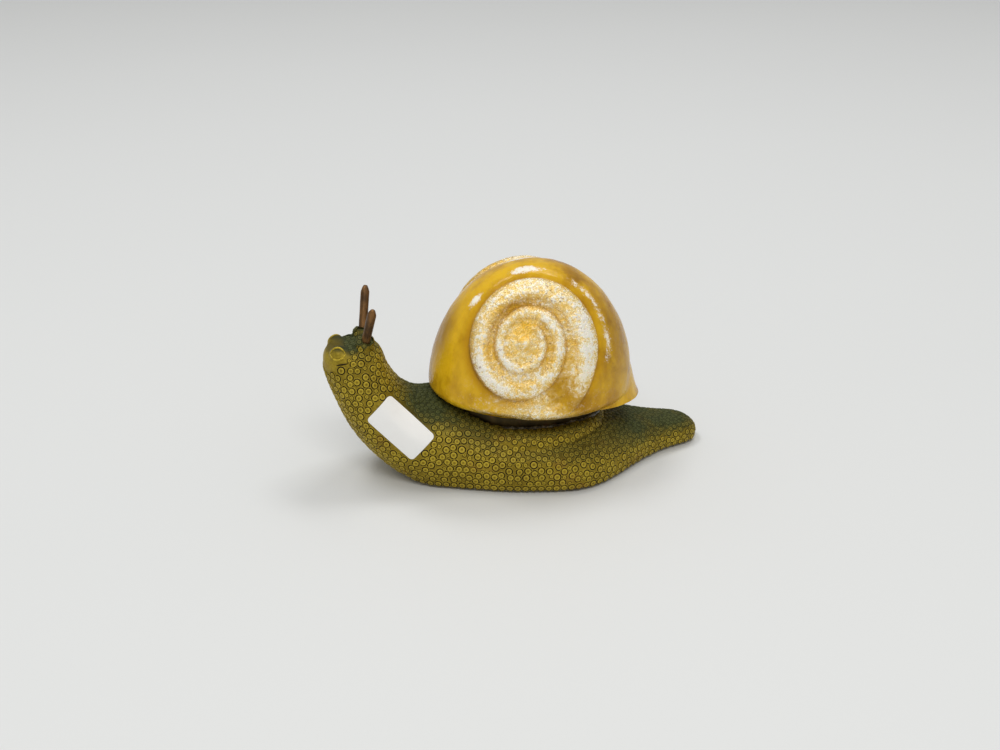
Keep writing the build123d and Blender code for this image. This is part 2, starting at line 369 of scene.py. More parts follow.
def skinMesh():
    bm = welded("body_casting")
    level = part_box("base_pad")[1].z
    corners = [(x, y, level) for x, y in ((-1, -1), (1, -1), (1, 1), (-1, 1))]
    lid = BVHTree.FromPolygons(corners, [(0, 1, 2, 3)])
    gone = outsideOnly(bm, lid)
    rims = [e for e in bm.edges if e.is_boundary]
    bmesh.ops.holes_fill(bm, edges=rims, sides=0)
    bmesh.ops.triangulate(bm, faces=bm.faces)
    bmesh.ops.recalc_face_normals(bm, faces=bm.faces)
    mesh = bpy.data.meshes.new("skinDraft")
    bm.to_mesh(mesh)
    bm.free()
    draft = linked("skinDraft", mesh)
    remesh = draft.modifiers.new("even", "REMESH")
    remesh.mode = "VOXEL"
    remesh.voxel_size = skinSpec["voxel"]
    soft = draft.modifiers.new("soft", "SMOOTH")
    soft.factor = 0.5
    soft.iterations = skinSpec["smooth"]
    result = baked(draft)
    bpy.data.objects.remove(draft)
    print("skin:", gone, "inner faces dropped,", len(result.polygons), "faces")
    return result


bossSpec = {"radius": 2.1 * mm, "rise": 0.5 * mm, "slack": 0.12 * mm, "pressed": 3.4 * mm, "round": 40 * mm}


def castBosses():
    # the casting's round bosses: the middle of each one's root and the way it points
    bm = welded("body_casting")
    done, found = set(), []
    for first in bm.faces:
        flat, waiting = set(), [] if first in done else [first]
        while waiting:
            face = waiting.pop()
            flat.add(face)
            beside = {f for e in face.edges for f in e.link_faces} - flat
            waiting += [f for f in beside if f.normal.dot(first.normal) > 0.99999]
        done |= flat
        corners = {v for f in flat for v in f.verts}
        if len(corners) < 6:
            continue
        middle = sum((v.co for v in corners), Vector()) / len(corners)
        if all(abs((v.co - middle).length - bossSpec["radius"]) < bossSpec["slack"] for v in corners):
            found.append((middle - first.normal * bossSpec["rise"], first.normal.copy()))
    bm.free()
    print(len(found), "bosses on the casting")
    return found


def pressed(mesh, bosses):
    # the skin lies flat where rings take the bosses' place
    spots = coords(mesh)
    for spot, out in bosses:
        away = spots - np.array(spot)
        high = away @ np.array(out)
        wide = np.linalg.norm(away - np.outer(high, out), axis=1)
        near = (wide < bossSpec["pressed"]) & (np.abs(high) < bossSpec["pressed"])
        spots[near] -= np.outer(np.maximum(high[near] + wide[near] ** 2 / (2 * bossSpec["round"]), 0), out)
    mesh.vertices.foreach_set("co", spots.ravel())
    mesh.update()
    return mesh


bosses = castBosses()
skin = linked("bodySkin", pressed(skinMesh(), bosses))
skin.data.name = "bodySkin"
where, facing = coords(skin.data), normals(skin.data)
inSeat = moved(where, toSeat)

# where the skin is ringed, how large its rings are, how dark and how worn it is
bodySpec = {
    "pocket": (51.5 * mm, 33.5 * mm), "pocketDeep": 16 * mm, "foot": 6.4 * mm, "snout": (-112 * mm, -122 * mm),
    "cheek": (70 * mm, 79 * mm), "crown": (87 * mm, 93 * mm), "neckBack": (-20 * mm, -62 * mm),
    "tail": (30 * mm, 75 * mm), "tailEnd": (45 * mm, 85 * mm),
}
labelSpec = {
    "spot": (-85.9 * mm, 0, 33 * mm), "turn": radians(-4.1), "lean": radians(72.2), "tilt": radians(-45),
    "clear": (21.4 * mm, 12.9 * mm), "lift": 0.35 * mm,
}
oval = (inSeat[:, 0] / bodySpec["pocket"][0]) ** 2 + (inSeat[:, 1] / bodySpec["pocket"][1]) ** 2
pocket = (oval < 1.0) & (inSeat[:, 2] > -bodySpec["pocketDeep"])
under = where[:, 2] < bodySpec["foot"]  # the lowest rings stand in a row of their own
labelMatrix = Matrix.Translation(labelSpec["spot"]) @ Matrix.Rotation(labelSpec["turn"], 4, "Z")
labelMatrix = labelMatrix @ Matrix.Rotation(labelSpec["lean"], 4, "X")
labelMatrix = labelMatrix @ Matrix.Rotation(labelSpec["tilt"], 4, "Z")
onLabel = moved(where, np.array(labelMatrix.inverted()))
labelled = (np.abs(onLabel[:, :2]) < labelSpec["clear"]).all(axis=1) & (onLabel[:, 2] > 0)
face = smoothStep(*bodySpec["snout"], where[:, 0]) * smoothStep(*bodySpec["cheek"], where[:, 2])
upward = smoothStep(0.42, 0.92, facing[:, 2])
neckBack = smoothStep(*bodySpec["neckBack"], where[:, 0])
crown = smoothStep(*bodySpec["crown"], where[:, 2])
tail = smoothStep(*bodySpec["tail"], where[:, 0]) * smoothStep(-0.3, 0.6, facing[:, 2])
# shade: dark green on upward faces, the neck's back, the crown and the tail's top, with less wear on upward
# faces; partly the casting's green patina, partly the shell's shadow painted in
shade = upward * (0.55 + 0.45 * neckBack) * (1 - 0.5 * face) + crown * 0.6
shade = np.clip(shade - 0.3 * smoothStep(0.5, 0.0, facing[:, 2]) + 0.5 * tail, 0, 1)
ringed = 1.0 - np.maximum.reduce([pocket * 1.0, under * 1.0, labelled * 1.0, 0.9 * face])
ringScale = 1.0 - 0.25 * upward - 0.2 * face - 0.15 * smoothStep(*bodySpec["tailEnd"], where[:, 0])
attribute(skin.data, "shade", shade)
attribute(skin.data, "wear", 0.62 + 0.1 * face - 0.3 * upward)
skin.data.materials.clear()
skin.data.materials.append(patina)

# rings: flat-topped discs in a thin groove, close together all over the skin
ringSpec = {"segments": 10, "gaps": (4.4 * mm, 3.5 * mm), "fills": (0.56, 0.45), "largest": 2.7 * mm}
# radius, height and wear, from a ring's middle outwards
ringProfile = (
    (0.0, 0.24, 0.45), (0.28, 0.27, 0.6), (0.54, 0.31, 0.95), (0.72, 0.26, 0.75), (0.80, 0.06, -0.6),
    (0.96, 0.05, -0.6), (1.06, 0.18, 0.85), (1.26, -0.06, 0.5),
)
footSpec = {
    "rear": 114.5 * mm, "pitch": 9.5 * mm, "height": 4.5 * mm, "columns": 24, "outside": 0.2, "facing": 0.4,
}


def ringShape():
    n = ringSpec["segments"]
    verts, faces, wear = [(0, 0, ringProfile[0][1])], [], [ringProfile[0][2]]
    for r, h, worn in ringProfile[1:]:
        for j in range(n):
            turn = 2 * pi * j / n
            verts.append((r * cos(turn), r * sin(turn), h))
            wear.append(worn)
    faces += [(0, 1 + j, 1 + (j + 1) % n) for j in range(n)]
    for i in range(len(ringProfile) - 2):
        a, b = 1 + i * n, 1 + (i + 1) * n
        faces += [(a + j, b + j, b + (j + 1) % n, a + (j + 1) % n) for j in range(n)]
    ring = meshObject("ringShape", verts, faces)
    attribute(ring.data, "wear", wear)
    ring.data.materials.append(patina)
    ring.hide_render = True
    return ring


def footRow():
    # the lowest row's rings between the bosses, where level rays from both sides meet the skin
    spots = []
    for side in (-1, 1):
        for column in range(footSpec["columns"]):
            x = footSpec["rear"] - (column + 0.5) * footSpec["pitch"]
            start = (x, side * footSpec["outside"], footSpec["height"])
            spot, way, _, _ = skinTree.ray_cast(start, (0, -side, 0))
            if spot and abs(way.y) > footSpec["facing"]:
                spots.append((spot, way))
    return spots


def ringPlaces(fixed):
    # the fixed places, then always the skin's point nearest to the rings that has room for one more;
    # a second, closer pass sets small rings in the gaps
    spots, ways = [np.array(spot) for spot, _ in fixed], [np.array(way) for _, way in fixed]
    sizes = []
    free = np.flatnonzero(ringed > 0.5)
    away = np.full(len(free), 1.0)
    for spot in spots:
        away = np.minimum(away, np.linalg.norm(where[free] - spot, axis=1))
    for gap, fill in zip(ringSpec["gaps"], ringSpec["fills"]):
        room = gap * ringScale[free]
        while (away >= room).any():
            pick = free[np.where(away >= room, away / room, np.inf).argmin()]
            spots.append(where[pick])
            ways.append(facing[pick])
            away = np.minimum(away, np.linalg.norm(where[free] - where[pick], axis=1))
        near = KDTree(len(spots))
        for i, spot in enumerate(spots):
            near.insert(spot, i)
        near.balance()
        for spot in spots[len(sizes):]:
            sizes.append(min(near.find_n(spot, 2)[1][2] * fill, ringSpec["largest"]))
    return spots, ways, sizes


def ringTree(ring):
    tree = bpy.data.node_groups.new("ringsOnPoints", "GeometryNodeTree")
    tree.interface.new_socket("Geometry", in_out="INPUT", socket_type="NodeSocketGeometry")
    tree.interface.new_socket("Geometry", in_out="OUTPUT", socket_type="NodeSocketGeometry")
    tree.interface.new_socket("Side", in_out="INPUT", socket_type="NodeSocketFloat").default_value = 1.0
    new, link = tree.nodes.new, tree.links.new

    def node(kind, **inputs):
        made = new(kind)
        for name, value in inputs.items():
            socket = next(s for s in made.inputs if s.enabled and s.name == name.replace("_", " "))
            if isinstance(value, bpy.types.NodeSocket):
                link(value, socket)
            else:
                socket.default_value = value
        return made

    def maths(operation, a, b):
        made = new("ShaderNodeMath")
        made.operation = operation
        for socket, value in zip(made.inputs, (a, b)):
            if isinstance(value, bpy.types.NodeSocket):
                link(value, socket)
            else:
                socket.default_value = value
        return made.outputs[0]

    start, end = new("NodeGroupInput"), new("NodeGroupOutput")
    spot = new("GeometryNodeInputPosition").outputs[0]
    outward = new("GeometryNodeInputNamedAttribute")
    outward.data_type = "FLOAT_VECTOR"
    outward.inputs["Name"].default_value = "outward"
    size = new("GeometryNodeInputNamedAttribute")
    size.data_type = "FLOAT"
    size.inputs["Name"].default_value = "ringSize"
    across = node("ShaderNodeSeparateXYZ", Vector=spot).outputs["Y"]
    own = maths("GREATER_THAN", maths("MULTIPLY", across, start.outputs["Side"]), 0.0)
    way = node("FunctionNodeAlignRotationToVector", Vector=next(s for s in outward.outputs if s.enabled))
    shape = node("GeometryNodeObjectInfo", Object=ring).outputs["Geometry"]
    rings = node("GeometryNodeInstanceOnPoints", Points=start.outputs["Geometry"], Selection=own,
                 Instance=shape, Rotation=way.outputs[0], Scale=next(s for s in size.outputs if s.enabled))
    solid = node("GeometryNodeRealizeInstances", Geometry=rings.outputs[0])
    paint = node("GeometryNodeSetMaterial", Geometry=solid.outputs[0], Material=patina)
    link(paint.outputs[0], end.inputs[0])
    return tree


def ringPiece(name, places, tree, side):
    spots, ways, sizes = places
    points = meshObject(name, spots, [])
    layer = points.data.attributes.new("outward", "FLOAT_VECTOR", "POINT")
    layer.data.foreach_set("vector", np.array(ways, np.float32).ravel())
    attribute(points.data, "ringSize", sizes)
    attribute(points.data, "shade", shade[[skinPoints.find(spot)[1] for spot in spots]])
    made = points.modifiers.new("rings", "NODES")
    made.node_group = tree
    socket = next(s for s in tree.interface.items_tree if s.name == "Side")
    made[socket.identifier] = side
    mesh = baked(points)
    bpy.data.objects.remove(points)
    mesh.name = name
    print(name, len(mesh.polygons), "faces")
    return linked(name, mesh)


skinTree = BVHTree.FromObject(skin, bpy.context.evaluated_depsgraph_get())
skinPoints = KDTree(len(where))
for i, spot in enumerate(where):
    skinPoints.insert(spot, i)
skinPoints.balance()
ring = ringShape()
tree = ringTree(ring)
places = ringPlaces(bosses + footRow())
sides = (("leftRings", -1.0), ("rightRings", 1.0))
ringPieces = [ringPiece(name, places, tree, side) for name, side in sides]
bpy.data.objects.remove(ring)

# face: lids round the eyes and the mouth's short line
faceSpec = {
    "eye": (-122.3 * mm, 8.5 * mm, 85.5 * mm), "ball": 5.95 * mm, "out": (-0.28, 0.84, 0.46),
    "flat": (0.93, 0.31, 0.0),
    "lids": ((0.95, 0.85), (-0.85, 0.95)), "lidWide": 1.45, "lidPoints": 17, "lidRadii": (0.25 * mm, 0.5 * mm),
    "mouth": (-121.0 * mm, 15.0 * mm, 81.5 * mm), "mouthHalf": (4.0 * mm, 0, 0.4 * mm), "mouthPoints": 9,
    "mouthRadii": (0.12 * mm, 0.42 * mm),
}


def tube(path, radii, sides=8):
    verts, faces = [], []
    for i, spot in enumerate(path):
        along = (path[min(i + 1, len(path) - 1)] - path[max(i - 1, 0)]).normalized()
        across = along.orthogonal().normalized()
        other = along.cross(across)
        for k in range(sides):
            turn = 2 * pi * k / sides
            verts.append(spot + (across * cos(turn) + other * sin(turn)) * radii[i])
    for i in range(len(path) - 1):
        for k in range(sides):
            m = (k + 1) % sides
            faces.append((i * sides + k, i * sides + m, (i + 1) * sides + m, (i + 1) * sides + k))
    faces.append(tuple(reversed(range(sides))))
    faces.append(tuple(range(len(verts) - sides, len(verts))))
    return verts, faces


def facePiece():
    verts, faces, wear = [], [], []

    def add(path, radii, worn):
        made, sides = tube(path, radii)
        faces.extend(tuple(i + len(verts) for i in f) for f in sides)
        verts.extend(made)
        wear.extend([worn] * len(made))

    def sided(name, side):
        x, y, z = faceSpec[name]
        return Vector((x, side * y, z))

    def swelling(radii, along):  # thin ends, thick middle
        return [radii[0] + radii[1] * (1 - t * t) for t in along]

    for side in (-1, 1):
        eye = sided("eye", side)
        out = sided("out", side).normalized()
        flat = sided("flat", side).normalized()
        rise = out.cross(flat) * -side
        along = np.linspace(-1, 1, faceSpec["lidPoints"])
        for lift, worn in faceSpec["lids"]:
            path = []
            for t in along:
                way = out + flat * (faceSpec["lidWide"] * t) + rise * (lift * (1 - t * t))
                path.append(skinTree.find_nearest(eye + way.normalized() * faceSpec["ball"])[0])
            add(path, swelling(faceSpec["lidRadii"], along), worn)
        mouth = sided("mouth", side)
        along = np.linspace(-1, 1, faceSpec["mouthPoints"])
        path = [skinTree.find_nearest(mouth + Vector(faceSpec["mouthHalf"]) * t)[0] for t in along]
        add(path, swelling(faceSpec["mouthRadii"], along), -0.6)
    lines = meshObject("faceLines", verts, faces)
    attribute(lines.data, "wear", wear)
    attribute(lines.data, "shade", np.zeros(len(verts)))
    lines.data.materials.append(patina)
    return lines


ringPieces.append(facePiece())
for piece in (skin, *ringPieces):
    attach(piece, "snail_body")
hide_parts("body_casting")
print("body done")


# shell: rows of loops from the crown down the outside, under the floor, round the neck and up the inside
shellSpec = {
    "half": (65.0 * mm, 52.2 * mm), "crown": 79.5 * mm, "tuck": 17.0 * mm, "waist": 8.7 * mm, "aft": 4.8 * mm,
    "wall": 3.5 * mm, "floor": 4.0 * mm, "columns": 420, "rows": 170, "soft": 1.2 * mm, "rough": 0.22 * mm,
    "pole": 0.012, "wave": 1.8 * mm, "spigot": (2.6 * mm, 10.4 * mm), "spigotEnd": (3.2 * mm, 11.0 * mm),
    "bore": 5.6 * mm, "innerRows": 40,
}
whorlSpec = {
    "turn": radians(15.0), "rise": radians(31.6), "suture": 46.0, "halving": 400.0,
    "first": -80.0, "last": 780.0,
    "middle": 0.77, "across": 0.226, "height": 0.13, "sunk": 0.2, "bead": 6.0 * mm, "cut": 1.0 * mm,
    "grooveSpan": 9.5 * mm, "fades": (1.0, 0.8, 0.55, 0.35),
}
# stretches of colour round the coil, angle and spread in degrees, strength: lit and glint place painted
# highlights, glow a painted glow, dusk and the two valleys painted shade, below the pale lower band
toneSpec = {
    "lit": ((215, 42, 1.0), (8, 40, 0.9), (100, 20, 0.25)), "glint": ((96, 19, 1.0), (141, 11, 0.85)),
    "glow": ((232, 34, 1.0),), "dusk": ((165, 18, 1.0), (20, 30, 0.6)),
    "below": ((275, 38, 1.0), (-85, 38, 1.0)),
    "outerValley": ((205, 60, 1.0),), "innerValley": ((105, 45, 1.0),),
}
lipSpec = {"reach": 76.6 * mm, "middle": 36.0 * mm, "height": 32.0 * mm, "half": 34.0 * mm,
           "levels": (0.0, 0.22, 0.47, 1.0), "far": (1.0, 0.96, 0.93, 0.78), "wide": (1.0, 0.98, 0.95, 0.82)}


def domePoint(n):
    size = np.column_stack([np.full(len(n), shellSpec["half"][0]), np.full(len(n), shellSpec["half"][1]),
                            np.where(n[:, 2] > 0, shellSpec["crown"], shellSpec["tuck"])])
    out = n / size
    return n * size, out / np.linalg.norm(out, axis=1)[:, None]


def toned(name, angle):
    return sum(strength * bell(angle, middle, spread) for middle, spread, strength in toneSpec[name])


def whorls(n):
    # the coil's height and its colour weights for unit directions n, alike on both sides; the weights include
    # painted highlights, glow and shade
    spec = whorlSpec
    level = cos(spec["rise"])
    apex = np.array([-sin(spec["turn"]) * level, -cos(spec["turn"]) * level, sin(spec["rise"])])
    right = np.array([cos(spec["turn"]), -sin(spec["turn"]), 0])
    up = np.cross(apex, right)
    m = np.column_stack([n[:, 0], -np.abs(n[:, 1]), n[:, 2]])
    away = np.degrees(np.arccos(np.clip(m @ apex, -1, 1)))
    angle = (np.degrees(np.arctan2(m @ up, m @ right)) - spec["first"]) % 360 + spec["first"]
    spoke = np.cos(np.radians(angle))[:, None] * right + np.sin(np.radians(angle))[:, None] * up
    here, _ = domePoint(m)
    height, disc, groove, crestHighlight, valleyShade = (np.zeros(len(n)) for _ in range(5))
    lit = np.clip(0.3 + toned("lit", angle), 0, 1)
    for k in range(4):
        total = angle + 360 * k
        suture = spec["suture"] * 2 ** (-total / spec["halving"])
        middle = np.radians(suture * spec["middle"])[:, None]
        centre, _ = domePoint(apex * np.cos(middle) + spoke * np.sin(middle))
        grown = np.clip(0.35 + 0.65 * (total - spec["first"]) / 90, 0, 1)
        size = np.radians(suture) * shellSpec["half"][1] * grown
        half = size * spec["across"]
        off = np.linalg.norm(here - centre, axis=1) * np.sign(away - suture * spec["middle"]) / half
        live = (total <= spec["last"])
        coil = size * spec["height"] * (np.sqrt(np.clip(1 - off ** 2, 0, 1)) - spec["sunk"])
        height = np.maximum(height, np.where(live, coil, 0))
        weight = smoothStep(spec["first"], 10, total)
        disc = np.maximum(disc, weight * smoothStep(1.15, 0.75, off))
        wide = half / spec["grooveSpan"]
        begun = smoothStep(spec["first"], -40, total)
        # the suture groove: cut into the coil and painted darker as shade
        groove = np.maximum(groove, bell((off - 1.08) * wide, 0, 0.22) * begun * spec["fades"][k])
        # painted highlight: the coil's crest is paler where the lamps light it
        crestHighlight = np.maximum(crestHighlight, bell(off, -0.05, 0.6) * weight * live * lit)
        shaded = 0.25 + 0.75 * toned("innerValley" if k else "outerValley", angle)
        # painted shade in the valley beside each suture, weighted by angle
        valleyShade = np.maximum(valleyShade, bell((off - 1.15) * wide, 0, 0.42) * begun * shaded * live)
        if k == 0:
            # painted highlight: a pale line inside the outer suture, on the lit top and right only
            rimHighlight = bell(off, 0.93, 0.08) * smoothStep(-40, 10, angle) * smoothStep(200, 150, angle)
            # painted highlights: glint patches along the outer band at the lit angles
            patches = toned("glint", angle) + 0.66 * smoothStep(-15, 5, angle) * smoothStep(75, 60, angle)
            glint = bell(off, 1.95, 0.55) * patches
    apexPoint, _ = domePoint(apex[None])
    near = np.linalg.norm(here - apexPoint, axis=1)
    bead = np.sqrt(np.clip(spec["bead"] ** 2 - near ** 2, 0, None)) - 0.6 * spec["bead"]
    height = np.maximum(height, bead)
    height -= groove * spec["cut"] * smoothStep(2 * mm, 14 * mm, near)
    below = np.clip(toned("below", angle) * 1.2, 0, 1)
    disc = np.maximum(disc, below * smoothStep(105, 75, away))
    # painted glow on the band's lower left
    glow = toned("glow", angle) * smoothStep(44, 60, away)
    # painted shade on two stretches of the band
    dusk = toned("dusk", angle) * smoothStep(44, 58, away) * smoothStep(88, 70, away)
    return height, {"disc": disc, "groove": groove, "crestHighlight": crestHighlight, "valleyShade": valleyShade, "rimHighlight": rimHighlight,
                    "glint": glint, "glow": glow, "dusk": dusk}


def lipReach(z, turn):
    # distance from the dome's axis to the lip's edge at height z, one value for each turn
    spec = lipSpec
    level = np.clip(z / spec["height"], 0, 1)
    a = np.polyval(np.polyfit(spec["levels"], spec["far"], 3), level) * spec["reach"] - spec["middle"]
    b = np.polyval(np.polyfit(spec["levels"], spec["wide"], 3), level) * spec["half"]
    shift = spec["middle"] - shellSpec["aft"]
    c, w = np.cos(turn), np.sin(turn)
    p = (c / a) ** 2 + (w / b) ** 2
    q = -2 * c * shift / a ** 2
    r = (shift / a) ** 2 - 1
    root = q ** 2 - 4 * p * r
    return np.where(root > 0, (-q + np.sqrt(np.clip(root, 0, None))) / (2 * p), 0)


collarSpec = {"endX": 26.5 * mm, "endRadius": 23.0 * mm, "halfWidth": 31.5 * mm}


def ovalLoop(grow, count):
    # the collar's oval at even turns, from four arcs that meet in a smooth line
    endX = collarSpec["endX"]
    flank = collarSpec["halfWidth"] - collarSpec["endRadius"]
    sideY = (endX ** 2 - flank ** 2) / (2 * flank)
    loop = []
    for j in range(count):
        d = Vector((cos(2 * pi * j / count), sin(2 * pi * j / count)))
        end = Vector((endX if d.x > 0 else -endX, 0)), collarSpec["endRadius"]
        side = Vector((0, -sideY if d.y > 0 else sideY)), collarSpec["halfWidth"] + sideY
        spots = []
        for centre, radius in (end, side):
            b = d.dot(centre)
            root = b * b - centre.length_squared + (radius + grow) ** 2
            if root >= 0:
                spots.append(d * (b + sqrt(root)))
        past = abs(spots[0].x) - endX
        onEnd = past > 0 and abs(spots[0].y) * endX < past * sideY
        loop.append(spots[0] if onEnd or len(spots) == 1 else spots[1])
    return np.array([(v.x, v.y) for v in loop])


def shellPiece():
    count, rows = shellSpec["columns"], shellSpec["rows"]
    turn = np.linspace(0, 2 * pi, count, endpoint=False)
    lat = np.linspace(pi / 2 - shellSpec["pole"], np.arcsin(-shellSpec["waist"] / shellSpec["tuck"]), rows)
    n = np.stack([np.outer(np.cos(lat), np.cos(turn)), np.outer(np.cos(lat), np.sin(turn)),
                  np.outer(np.sin(lat), np.ones(count))], -1).reshape(-1, 3)
    p, out = domePoint(n)
    height, weights = whorls(n)
    z = p[:, 2] + shellSpec["waist"]
    ownReach = np.hypot(p[:, 0], p[:, 1])
    ownTurn = np.arctan2(p[:, 1], p[:, 0])
    lip = np.where(z < lipSpec["height"], lipReach(z, ownTurn), 0)
    gain = np.clip(lip - ownReach, -shellSpec["soft"], None)
    gain = np.where(gain < shellSpec["soft"], (gain + shellSpec["soft"]) ** 2 / (4 * shellSpec["soft"]), gain)
    p[:, :2] *= (1 + gain / np.maximum(ownReach, 1 * mm))[:, None]
    fade = smoothStep(0.3 * mm, 5 * mm, z)
    rough = np.array([noise.noise(v * 110) + 0.5 * noise.noise(v * 290) for v in map(Vector, p)])
    p += out * (height * fade + rough * shellSpec["rough"])[:, None]
    p += [shellSpec["aft"], 0, shellSpec["waist"]]
    raised = bell(np.degrees(ownTurn), -128, 17) * smoothStep(9 * mm, 0, p[:, 2])
    p[:, 2] += raised * shellSpec["wave"]  # the rim's wavy stretch at the front
    outside = p.reshape(rows, count, 3)
    bottom = outside[-1]
    loops = []

    def level(xy, h):
        loops.append(np.column_stack([xy, np.full(count, h)]))

    spigot = ovalLoop(-shellSpec["spigot"][0], count)
    for share, drop in ((0.02, 0.5), (0.05, 0.75), (0.2, 1.0), (0.6, 1.0)):
        inward = bottom[:, :2] * (1 - share) + spigot * share
        loops.append(np.column_stack([inward, bottom[:, 2] * (1 - drop)]))
    level(spigot, 0.0)
    level(spigot, -shellSpec["spigot"][1])
    inset, deep = shellSpec["spigotEnd"]
    level(ovalLoop(-inset, count), -deep)
    bore = ovalLoop(-shellSpec["bore"], count)
    level(bore, -deep)
    level(bore, shellSpec["floor"])
    w = shellSpec["wall"]
    lowest = np.arcsin((shellSpec["floor"] - shellSpec["waist"]) / (shellSpec["tuck"] - w))
    for latitude in np.linspace(lowest, pi / 2 - shellSpec["pole"], shellSpec["innerRows"]):
        tall = (shellSpec["crown"] if latitude > 0 else shellSpec["tuck"]) - w
        xy = np.column_stack([(shellSpec["half"][0] - w) * cos(latitude) * np.cos(turn) + shellSpec["aft"],
                              (shellSpec["half"][1] - w) * cos(latitude) * np.sin(turn)])
        level(xy, shellSpec["waist"] + tall * sin(latitude))
    allRows = np.concatenate([outside, np.array(loops)])
    total, last = len(allRows), (len(allRows) - 1) * count
    top = [shellSpec["aft"], 0, shellSpec["waist"] + shellSpec["crown"]]
    verts = np.vstack([allRows.reshape(-1, 3), [top, [top[0], 0, top[2] - w]]])
    faces = [tuple(reversed(f)) for f in gridFaces(total, count)]
    for j in range(count):
        k = (j + 1) % count
        faces.append((total * count, j, k))
        faces.append((total * count + 1, last + k, last + j))
    shell = meshObject("glassShell", moved(verts, fromSeat), faces)
    for name, values in weights.items():
        attribute(shell.data, name, np.concatenate([values, np.zeros(len(verts) - len(n))]))
    shell.data.materials.append(shellMaterial())
    return shell


shell = shellPiece()
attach(shell, "shell")
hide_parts("shell")
print("shell:", len(shell.data.polygons), "faces")


# solder: a lumpy bead round the collar's foot
def solderPiece():
    spec = {"columns": 420, "around": 10, "offset": 0.8 * mm, "drop": 11.8 * mm, "radius": 1.55 * mm}
    path = ovalLoop(spec["offset"], spec["columns"])
    verts = []
    for j, (x, y) in enumerate(path):
        before, after = path[j - 1], path[(j + 1) % len(path)]
        along = (after - before) / np.linalg.norm(after - before)
        outward = np.array([along[1], -along[0]])
        lump = noise.noise((x * 300, y * 300, 3.0)) * 0.45 + noise.noise((x * 900, y * 900, 7.0)) * 0.3
        blob = max(0.0, noise.noise((x * 120, y * 120, 12.0)) - 0.15) * 1.6
        r = spec["radius"] * (0.85 + lump * 0.5 + blob)
        for i in range(spec["around"]):
            turn = 2 * pi * i / spec["around"]
            bit = 1 + 0.25 * noise.noise((x * 700 + i, y * 700, i * 1.7))
            side = outward * r * bit * cos(turn)
            verts.append((x + side[0], y + side[1], -spec["drop"] + r * bit * sin(turn)))
    m = spec["around"]
    faces = []
    for j in range(spec["columns"]):
        a = j * m
        b = (j + 1) % spec["columns"] * m
        faces += [(a + i, b + i, b + (i + 1) % m, a + (i + 1) % m) for i in range(m)]
    bead = meshObject("solderBead", moved(np.array(verts), fromSeat), faces)
    bead.data.materials.append(solderMaterial())
    return bead


bead = solderPiece()
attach(bead, "snail_body")
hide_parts("collar_solder")


# horns: eight-sided pegs with blunt tips
def hornPiece(name, side):
    spec = {
        "root": (-105.7 * mm, 9 * mm, 92.8 * mm), "splay": radians(27), "lean": radians(8), "length": 29 * mm,
        "width": 5.8 * mm, "tip": 2.6 * mm, "tipLength": 4.0 * mm, "tenon": 7.5 * mm, "tenonRadius": 1.75 * mm,
        "ledge": 0.02 * mm, "cap": 0.1 * mm, "sides": 24,
    }
    x, y, z = spec["root"]
    place = Matrix.Translation((x, side * y, z)) @ Matrix.Rotation(-side * spec["splay"], 4, "X")
    place = place @ Matrix.Rotation(spec["lean"], 4, "Y")
    half = spec["width"] / 2
    tip = spec["tip"] / 2
    shank = spec["length"] - spec["tipLength"]
    profile = [(-spec["tenon"], spec["tenonRadius"]), (spec["ledge"], spec["tenonRadius"])]
    profile.append((spec["ledge"] * 1.5, half * 0.94))
    profile += [(shank * s, half * (0.94 + 0.06 * s)) for s in np.linspace(0.05, 0.96, 14)]
    profile += [(shank, half * 0.97), (shank + spec["tipLength"] * 0.45, (half + tip) * 0.53)]
    profile += [(shank + spec["tipLength"] * 0.85, tip * 1.15), (spec["length"] - spec["cap"], tip * 0.8)]
    profile.append((spec["length"], tip * 0.35))
    verts, wear = [], []
    for z, r in profile:
        for i in range(spec["sides"]):
            turn = 2 * pi * i / spec["sides"]
            facet = cos(pi / 8) / cos((turn + pi / 8) % (pi / 4) - pi / 8)
            facet = 0.35 + 0.65 * facet
            rough = 1 + 0.035 * noise.noise((cos(turn) * 2, sin(turn) * 2, z * 250 + side * 5))
            verts.append((r * facet * rough * cos(turn), r * facet * rough * sin(turn), z))
            wear.append(max(0.0, facet - 0.965) * 25)
    n, m = len(profile), spec["sides"]
    faces = gridFaces(n, m)
    verts += [(0, 0, -spec["tenon"]), (0, 0, spec["length"])]
    wear += [0, 1]
    for i in range(m):
        k = (i + 1) % m
        faces.append((n * m, k, i))
        faces.append((n * m + 1, (n - 1) * m + i, (n - 1) * m + k))
    horn = meshObject(name, moved(np.array(verts), np.array(place)), faces)
    attribute(horn.data, "wear", wear)
    return horn


hornLook = hornMaterial()
for name, side, node in (("leftPeg", -1, "left_horn"), ("rightPeg", 1, "right_horn")):
    peg = hornPiece(name, side)
    peg.data.materials.append(hornLook)
    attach(peg, "snail_body")
    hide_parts(node)


# label, collar and pad keep the frame's shapes
def labelPiece():
    bm = welded("paper_label")
    out = Vector(np.array(labelMatrix)[:3, 2])
    for v in bm.verts:
        v.co += out * labelSpec["lift"]
    mesh = bpy.data.meshes.new("paperLabel")
    bm.to_mesh(mesh)
    bm.free()
    label = linked("paperLabel", mesh, False)
    label.data.materials.clear()
    label.data.materials.append(paperMaterial())
    return label


label = labelPiece()
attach(label, "snail_body")
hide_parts("paper_label")
for node, made in (("shell_collar", collarMaterial()), ("base_pad", feltMaterial())):
    nodes[node].data.materials.clear()
    nodes[node].data.materials.append(made)
print("small pieces done")


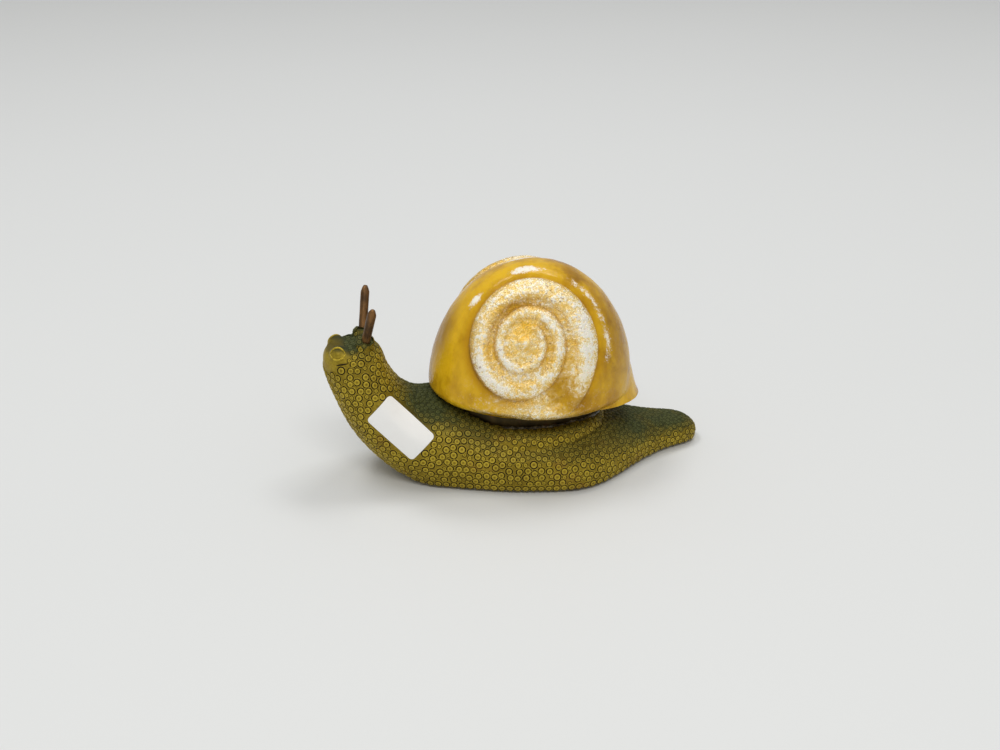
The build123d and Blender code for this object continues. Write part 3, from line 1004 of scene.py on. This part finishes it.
# stage: pale floor, soft lamps overhead, the photo's camera
def stagePieces():
    g = Graph(bpy.data.materials.new("paleFloor"))
    tone = g.mix(g.noise(1.5, 2), (0.74, 0.755, 0.755), (0.76, 0.775, 0.775))
    corners = [(-4, -4, 0), (4, -4, 0), (4, 4, 0), (-4, 4, 0)]
    floor = meshObject("floor", corners, [(0, 1, 2, 3)], False)
    floor.data.materials.append(g.finish(Base_Color=tone, Roughness=0.6, Specular_IOR_Level=0.25))
    world = bpy.data.worlds.new("studio")
    bpy.context.scene.world = world
    w = Graph(world)
    seen = w.node("ShaderNodeLightPath", out="Is Camera Ray")
    glow = w.node("ShaderNodeBackground", {"Color": (1.0, 0.99, 0.97, 1), "Strength": 0.45})
    plain = w.node("ShaderNodeBackground", {"Color": (0.72, 0.745, 0.755, 1), "Strength": 1.0})
    both = w.node("ShaderNodeMixShader", {"Fac": seen, "Shader": glow, "Shader_001": plain})
    w.node("ShaderNodeOutputWorld", {"Surface": both})


def lamp(name, size, power, spot, colour=(1, 1, 1)):
    data = bpy.data.lights.new(name, "AREA")
    data.shape = "RECTANGLE"
    data.size, data.size_y = size
    data.energy = power
    data.color = colour
    obj = bpy.data.objects.new(name, data)
    bpy.context.scene.collection.objects.link(obj)
    obj.location = spot
    obj.rotation_euler = (Vector((0, 0, 0.05)) - Vector(spot)).to_track_quat("-Z", "Y").to_euler()


stagePieces()
lamp("rightPanel", (1.3, 0.6), 16.5, (0.85, 0.85, 2.6))
lamp("leftPanel", (1.3, 0.6), 16.5, (-0.95, 0.45, 2.6))
lamp("frontPanel", (1.5, 0.6), 20.0, (-0.2, -1.7, 2.1), (1.0, 0.98, 0.95))

view = {
    "azimuth": radians(-12.0), "elevation": radians(24.0), "distance": 900 * mm,
    "target": (-2 * mm, 0, 60 * mm),
    "perPixel": 0.64 * mm, "pixel": (528, 372), "picture": (1000, 750), "sensor": 36.0,
}


def photoCamera():
    a, e = view["azimuth"], view["elevation"]
    wide, high = view["picture"]
    back = Vector((sin(a) * cos(e), -cos(a) * cos(e), sin(e)))
    focal = view["distance"] / view["perPixel"]  # in pixels
    right = (-back).cross(Vector((0, 0, 1))).normalized()
    up = right.cross(-back)
    ahead = -back - right * ((view["pixel"][0] - wide / 2) / focal)
    ahead += up * ((view["pixel"][1] - high / 2) / focal)
    data = bpy.data.cameras.new("photoCamera")
    data.sensor_width = view["sensor"]
    data.lens = focal * view["sensor"] / wide
    data.clip_start = 0.01
    camera = bpy.data.objects.new("photoCamera", data)
    bpy.context.scene.collection.objects.link(camera)
    camera.location = Vector(view["target"]) + back * view["distance"]
    camera.rotation_euler = ahead.to_track_quat("-Z", "Y").to_euler()
    bpy.context.scene.camera = camera


photoCamera()
bpy.context.scene.view_settings.view_transform = "Standard"
print("scene done")
